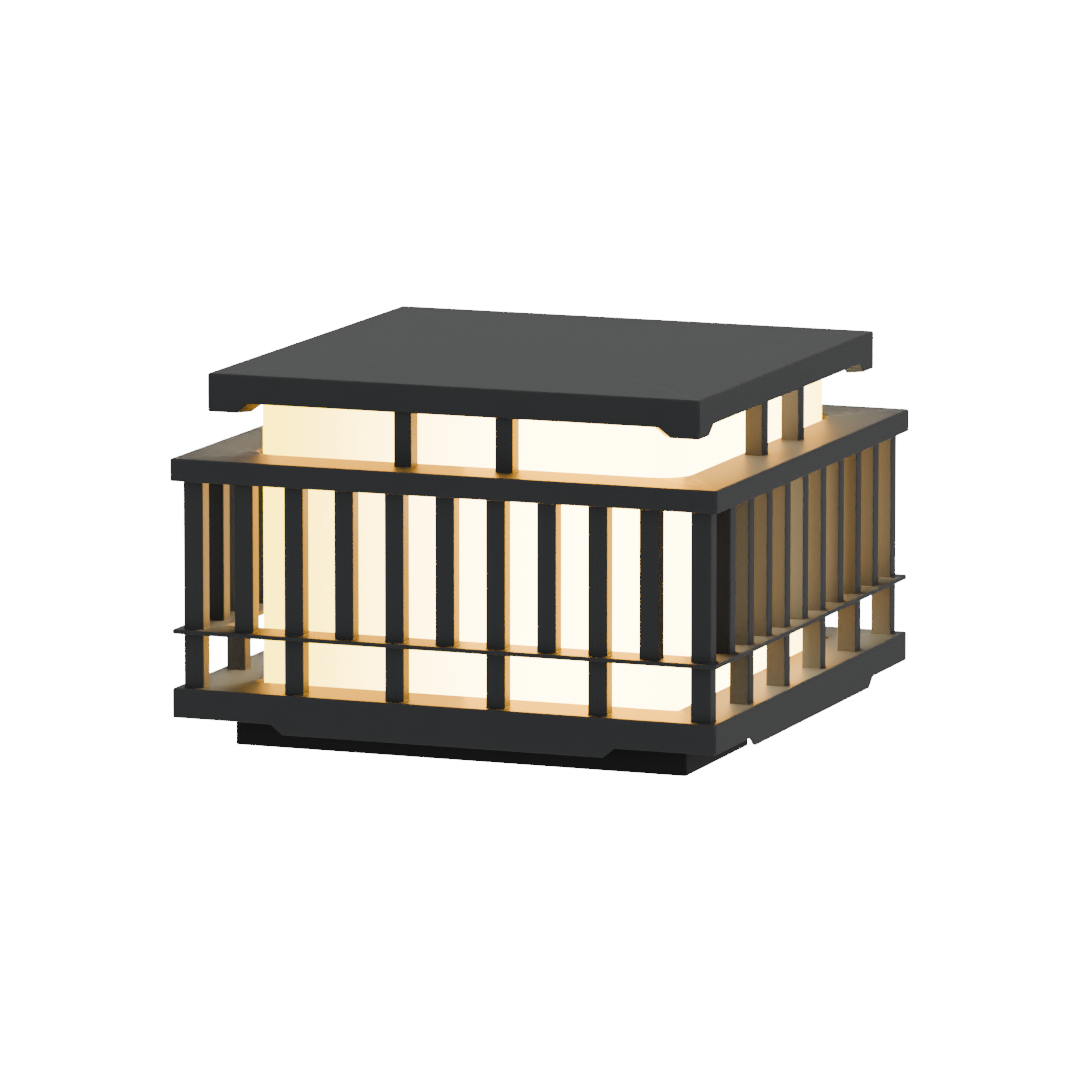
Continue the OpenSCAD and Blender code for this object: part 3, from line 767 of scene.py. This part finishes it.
def bulb():
    """The bulb: solder contact, threaded cap, ribbed housing and thin globe."""
    cap_low, cap_high = (edge[2] for edge in low_high("bulb_cap"))
    tip = low_high("bulb_contact")[0][2]
    turned("bulb_tip", [(0.3, tip, 0, 0, 0), (4.0, tip, 0, 0.5, 0), (4.6, tip + 0.7, 0, 0.3, 0),
                        (9.0, cap_low, 0, 0, 0), (0.3, cap_low + 0.4, 0, 0, 0)],
           False, "bulb", "contact_solder", "bulb_contact")
    profile = [(0.3, cap_low + 0.5, 0, 0, 0), (9.0, cap_low, 0, 0.3, 0), (11.8, cap_low + 0.8, 0, 0.5, 0)]
    profile += thread_rows(12.6, cap_low + 2, cap_high - 3, PITCH_E27)
    profile += [(12.8, cap_high - 1.5, 0, 0.3, 0), (12.8, cap_high, 0, 0, 0), (0.3, cap_high, 0, 0, 0)]
    turned("bulb_thread", profile, False, "bulb", "cap_nickel", "bulb_cap",
           wave=helix(PITCH_E27, 0.5), steps=96)
    foot, top = (edge[2] for edge in low_high("bulb_collar"))
    profile = [(0.3, foot, 0, 0, 0), (13.0, foot, 0, 0.3, 0), (13.8, foot + 3.5, 0, 0.8, 0),
               (17.0, foot + 12, 0, 1.5, 0.5), (23.0, foot + 25, 0, 3.0, 1), (27.4, foot + 37, 0, 1.5, 0.3),
               (28.0, top, 0, 0.5, 0), (26.0, top, 0, 0.4, 0), (26.0, top - 2, 0, 0.3, 0),
               (0.3, top - 2, 0, 0, 0)]
    turned("bulb_housing", profile, False, "bulb", "bulb_plastic", "bulb_collar",
           wave=lambda angle, height: 0.5 * np.cos(20 * angle), steps=160)
    rim, crown = (edge[2] for edge in low_high("bulb_globe"))
    middle = crown - GLOBE_R
    inner = GLOBE_R - GLOBE_WALL
    fall = np.linspace(math.pi / 2 - 0.01, math.asin((rim - middle) / inner), 26)
    rise = np.linspace(math.asin((rim - middle) / GLOBE_R), math.pi / 2 - 0.01, 26)
    profile = [(inner * math.cos(a), middle + inner * math.sin(a), 0, 0, 0) for a in fall]
    profile += [(GLOBE_R * math.cos(a), middle + GLOBE_R * math.sin(a), 0, 0, 0) for a in rise]
    turned("opal_globe", profile, False, "bulb", "bulb_opal", "bulb_globe", steps=96)


def lampholder():
    """The lampholder: glazed body, threaded sleeve and sprung contact, and the cable's grommet below it."""
    foot, top = (edge[2] for edge in low_high("lampholder_body"))
    floor = foot + HOLDER_FLOOR
    body = [(0.3, foot, 0, 0, 0), (19.0, foot, 0, 0.4, 0), (20.0, foot + 1, 0, 0.5, 0),
            (20.0, floor + 3, 0, 2.0, 0), (23.0, floor + 7, 0, 2.0, 0), (23.0, top - 2, 0, 0.8, 0),
            (21.5, top, 0, 0.8, 0), (14.6, top, 0, 0.6, 0), (14.6, floor, 0, 0.4, 0), (0.3, floor, 0, 0, 0)]
    turned("holder_body", body, False, "mount", "porcelain", "lampholder_body", steps=96)
    low, high = (edge[2] for edge in low_high("lampholder_shell"))
    profile = [(14.4, low, 0, 0.1, 0), (14.4, high, 0, 0.2, 0), (13.8, high, 0, 0.1, 0)]
    profile += thread_rows(13.6, high - 1, low + 1, PITCH_E27) + [(13.8, low, 0, 0.1, 0)]
    turned("holder_thread", profile, True, "mount", "thread_brass", "lampholder_shell",
           wave=helix(PITCH_E27, 0.4), steps=96)
    low, high = (edge[2] for edge in low_high("lampholder_contact"))
    turned("centre_contact", [(0.2, low, 0, 0, 0), (6.0, low, 0, 0.2, 0), (6.0, low + 1, 0, 0.3, 0),
                              (3.0, low + 1, 0, 0.2, 0), (3.0, high, 0, 0.8, 0), (0.2, high, 0, 0, 0)],
           False, "mount", "thread_brass", "lampholder_contact")
    turned("entry_grommet", [(5.0, 0.2, 0, 0.4, 0), (11.0, 0.2, 0, 0.4, 0), (11.0, 2.0, 0, 0.2, 0),
                             (8.0, 2.0, 0, 0.1, 0), (8.0, 5.0, 0, 0.1, 0), (11.0, 5.0, 0, 0.2, 0),
                             (11.0, 7.2, 0, 0.8, 0), (5.0, 7.2, 0, 0.6, 0)],
           True, "mount", "rubber_black", "cable_grommet")


EARTH_X, EARTH_Y = -62.0, -45.0
LEAD_R = 1.3
POLE_PITCH = 9.0
HOLDER_ENTRY = (8.0, -16.0, 25.0)


def wiring():
    """The two leads to the lampholder, and the earth lead with its ring tag.

    A lead is a circle swept along a smoothed path, and the tag is a small section turned round the stud."""
    block_x = np.mean([edge[0] for edge in low_high("terminal_block")])
    entry_x, entry_y, entry_z = HOLDER_ENTRY
    leads = [rounded_path([(block_x, -39, 14), (block_x, -28, 14), (entry_x, -25, entry_z),
                           (entry_x, entry_y, entry_z)]),
             rounded_path([(block_x - POLE_PITCH, -39, 14), (block_x - POLE_PITCH, -32, 14),
                           (-entry_x, -29, entry_z), (-entry_x, entry_y, entry_z)])]
    points, faces = swept(leads, LEAD_R)
    put("live_leads", points * MM, faces, np.zeros(len(points)), "mount", "lead_brown", "holder_leads")
    pole_x = block_x + POLE_PITCH
    path = rounded_path([(pole_x, -39, 14), (pole_x, -32, 14), (pole_x, -14, 8), (50, 24, 7), (-50, 24, 7),
                         (EARTH_X, 10, 7), (EARTH_X, EARTH_Y + 8, 6.6)])
    points, faces = swept([path], LEAD_R)
    angle = np.linspace(0, 2 * np.pi, 49)[:-1]
    ring = np.array([(2.1, 5.8), (4.0, 5.8), (4.0, 7.4), (2.1, 7.4)])
    tag = np.stack([ring[:, :1] * np.cos(angle) + EARTH_X, ring[:, :1] * np.sin(angle) + EARTH_Y,
                    np.repeat(ring[:, 1:], len(angle), 1)], 2).reshape(-1, 3)
    faces += grid_faces(len(ring), len(angle), True, True, len(points))
    points = np.concatenate([points, tag])
    put("earth_wire", points * MM, faces, np.zeros(len(points)), "mount", "lead_green", "earth_lead",
        flat_normals=False)


LOCK_Y, LOCK_Z = 60.0, 11.0
STUD_R = 1.5
STUD_THREAD = 7.0
BRIDGE_SCREW_X, HOLDER_SCREW_X = 38.0, 12.0
SADDLE_SCREW_X, SADDLE_Y = 11.0, -62.0
PLATE_TOP, FLANGE_OF_BRIDGE, BRIDGE_UNDER, SADDLE_TOP = 5.0, 7.0, 18.0, 15.0
TAG_TOP = 7.4


def head_fasteners():
    """The head's screws, studs and nuts, each kind in one piece."""
    ledge_under = low_high("middle_ledge")[1][2] - SHEET
    spots = [(x, y, ledge_under, UP) for x, y in post_places()]
    turned("roof_post_screws", screw(1.95, 14, 3.8, 2.4, 1.5), False, "head", "screw_steel", "post_screws",
           spots=spots, steps=36)
    face = low_high("foot_skirt")[1][0]
    sides = [(side, y) for side in (-1, 1) for y in (-LOCK_Y, LOCK_Y)]
    outside = [(side * face, y, LOCK_Z, (-side, 0, 0)) for side, y in sides]
    turned("side_lock_screws", screw(2.45, 9.1, 4.2, 2.6, 2.0), False, "head", "screw_steel", "lock_screws",
           spots=outside, steps=48)
    inside = [(side * (face - SHEET), y, LOCK_Z, (-side, 0, 0)) for side, y in sides]
    turned("side_lock_nuts", nut(2.55, 3.98, 4.0), True, "head", "screw_steel", "lock_nuts",
           spots=inside, steps=48)
    low, high = low_high("clip_studs")
    xs, ys = (low[0] + STUD_R, high[0] - STUD_R), (low[1] + STUD_R, high[1] - STUD_R)
    middles = [(x, y) for x in xs for y in ys]
    length = high[2] - low[2]
    stud = [(0.2, 0, 0, 0, 0), (1.2, 0, 0, 0.1, 0), (1.35, 0.4, 0, 0, 0)]
    stud += thread_rows(1.35, 0.5, STUD_THREAD, 0.5)
    stud += [(1.45, STUD_THREAD + 0.3, 0, 0, 0), (1.45, length, 0, 0, 0), (0.2, length, 0, 0, 0)]
    turned("flange_studs", stud, False, "head", "screw_steel", "clip_studs",
           spots=[(x, y, low[2], UP) for x, y in middles], wave=helix(0.5, 0.12), steps=24)
    nut_foot = low_high("clip_nuts")[0][2]
    turned("flange_nuts", nut(1.6, 2.34, 2.4), True, "head", "screw_steel", "clip_nuts",
           spots=[(x, y, nut_foot, UP) for x, y in middles], steps=48)


def mount_fasteners():
    """The mounting plate's screws and its earth post, each kind in one piece."""
    turned("bridge_screws", screw(1.95, 4.5, 3.8, 2.6, 1.5), False, "mount", "screw_steel", "bracket_screws",
           spots=[(x, 0, FLANGE_OF_BRIDGE, DOWN) for x in (-BRIDGE_SCREW_X, BRIDGE_SCREW_X)], steps=48)
    turned("holder_base_screws", screw(1.5, 8, 2.8, 2.0, 1.2), False, "mount", "screw_steel", "holder_screws",
           spots=[(x, 0, BRIDGE_UNDER, UP) for x in (-HOLDER_SCREW_X, HOLDER_SCREW_X)], steps=36)
    turned("saddle_screws", screw(1.5, 5.5, 2.8, 1.8, 1.2), False, "mount", "screw_steel", "clamp_screws",
           spots=[(x, SADDLE_Y, SADDLE_TOP, DOWN) for x in (-SADDLE_SCREW_X, SADDLE_SCREW_X)], steps=36)
    post = [(0.2, 0, 0, 0, 0), (4.5, 0, 0, 0.1, 0), (4.5, 0.8, 0, 0.2, 0), (1.75, 0.8, 0, 0, 0)]
    post += thread_rows(1.75, 1.0, 11.4, 0.7) + [(1.4, 12, 0, 0.1, 0), (0.2, 12, 0, 0, 0)]
    turned("earth_post", post, False, "mount", "thread_brass", "earth_stud",
           spots=[(EARTH_X, EARTH_Y, PLATE_TOP, UP)], wave=helix(0.7, 0.2), steps=36)
    turned("earth_post_nut", nut(2.0, 3.5, 3.2), True, "mount", "thread_brass", "earth_nut",
           spots=[(EARTH_X, EARTH_Y, TAG_TOP, UP)], steps=48)


bulb()
lampholder()
wiring()
head_fasteners()
mount_fasteners()

# ---------------------------------------------------------------- light and stage

SHEEN_COLOUR, SHEEN_RADIANCE = (1.0, 0.42, 0.0), 31.0
SPILL_FRONT, SPILL_SIDES = (1.0, 0.77, 0.25), (1.0, 0.82, 0.48)
SPILL_RADIANCE = 30.0
GLOW_GAP = 0.3
GLOW_LOW, GLOW_HIGH = 30.0, 186.0
# Shares of the radiance as (millimetres, share) stops: along Y for the sides' spill, along X for the rest.
FRONT_SHEEN = ((-110, 0.25), (-40, 0.6), (20, 1.0))
SIDE_SHEEN = ((-110, 0.25), (-40, 0.6), (20, 0.42))
FRONT_SPILL = ((-60, 0.65), (20, 0.8))
SIDE_SPILL = ((-55, 2.7), (55, 1.8), (110, 1.2))


def read_off(at, stops):
    """A share read off straight lines between (place in millimetres, share) stops."""
    places, shares = zip(*stops)
    return np.interp(at, places, shares)


def glow_panel(name, place, out, width, colour, radiance, seen_in):
    """One upright panel of light just outside the diffuser, shining outwards and riding with the head.

    It is seen either in reflections only or in scattered light only, and never by the camera."""
    data = bpy.data.lights.new(name, "AREA")
    data.shape = "RECTANGLE"
    data.size = width * MM
    data.size_y = (GLOW_HIGH - GLOW_LOW) * MM
    data.energy = radiance * math.pi * data.size * data.size_y
    data.color = colour
    lamp = bpy.data.objects.new(name, data)
    lamp.location = (place[0] * MM, place[1] * MM, (GLOW_LOW + GLOW_HIGH) / 2 * MM)
    lamp.rotation_mode = "QUATERNION"
    lamp.rotation_quaternion = Vector((*out, 0)).to_track_quat("-Z", "Y")
    lamp.visible_camera = False
    lamp.visible_diffuse = seen_in == "spill"
    lamp.visible_glossy = seen_in == "sheen"
    bpy.context.scene.collection.objects.link(lamp)
    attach(lamp, "head")


def glow_lights():
    """The warm light that the diffuser throws: two places on each face and one on each round corner.

    Reflections are strongest at the front's right end. Scattered light is strongest at the front of the two
    sides."""
    straight = DIFFUSER_HALF - DIFFUSER_ROUND
    bend = DIFFUSER_ROUND + GLOW_GAP
    facet = 2 * bend * math.tan(math.pi / 8)
    reach = straight + facet / 2
    spots = []
    for side in range(4):
        turn = math.radians(90 * side)
        out = np.array([math.sin(turn), -math.cos(turn)])
        along = np.array([math.cos(turn), math.sin(turn)])
        for part in (-0.5, 0.5):
            spots.append((out * (DIFFUSER_HALF + GLOW_GAP) + along * reach * part, out, reach))
        corner = (out + along) / math.sqrt(2)
        spots.append(((out + along) * straight + corner * bend, corner, facet))
    for count, (place, out, width) in enumerate(spots):
        front = -out[1] > 0.5
        sheen = SHEEN_RADIANCE * read_off(place[0], FRONT_SHEEN if front else SIDE_SHEEN)
        part = read_off(place[0], FRONT_SPILL) if front else read_off(place[1], SIDE_SPILL)
        spill = SPILL_RADIANCE * part
        colour = SPILL_FRONT if front else SPILL_SIDES
        glow_panel(f"sheen_{count}", place, out, width, SHEEN_COLOUR, sheen, "sheen")
        glow_panel(f"spill_{count}", place, out, width, colour, spill, "spill")


FLOOR_R, SWEEP_R, WALL_TOP, FLOOR_DROP = 6.0, 2.0, 9.0, 0.0002
FLOOR_GLOW, ROOM_GLOW = 17.6, 0.60


def stage():
    """A pale floor that sweeps up into a wall all round, seen by the camera and throwing no light.

    Its profile is a flat disc, a quarter circle and an upright line, turned round the vertical axis."""
    angle = np.linspace(0, 2 * np.pi, 97)[:-1]
    bend = np.radians(np.linspace(0, 90, 9))[1:]
    radius = np.concatenate([[0.5, FLOOR_R], FLOOR_R + SWEEP_R * np.sin(bend), [FLOOR_R + SWEEP_R]])
    height = np.concatenate([[0.0, 0.0], SWEEP_R - SWEEP_R * np.cos(bend), [WALL_TOP]]) - FLOOR_DROP
    points = np.stack([radius[:, None] * np.cos(angle), radius[:, None] * np.sin(angle),
                       np.repeat(height[:, None], len(angle), 1)], 2)
    faces = grid_faces(len(radius), len(angle), False, True)
    faces.append(np.arange(len(angle)).tolist())
    mesh = bpy.data.meshes.new("floor")
    mesh.from_pydata(points.reshape(-1, 3).tolist(), [], faces)
    mesh.shade_smooth()
    f = Finish("pale_floor")
    mesh.materials.append(f.set(Base_Color=(0.85, 0.85, 0.85), Roughness=0.9, Emission_Color=(1.0, 1.0, 1.0),
                                Emission_Strength=FLOOR_GLOW))
    floor = bpy.data.objects.new("floor", mesh)
    bpy.context.scene.collection.objects.link(floor)
    for way in ("visible_diffuse", "visible_glossy", "visible_transmission", "visible_shadow"):
        setattr(floor, way, False)


def studio():
    """An even soft light from all round."""
    world = bpy.data.worlds.new("studio")
    world.use_nodes = True
    background = world.node_tree.nodes["Background"]
    background.inputs["Color"].default_value = (1.0, 1.0, 1.0, 1)
    background.inputs["Strength"].default_value = ROOM_GLOW
    bpy.context.scene.world = world


glow_lights()
stage()
studio()
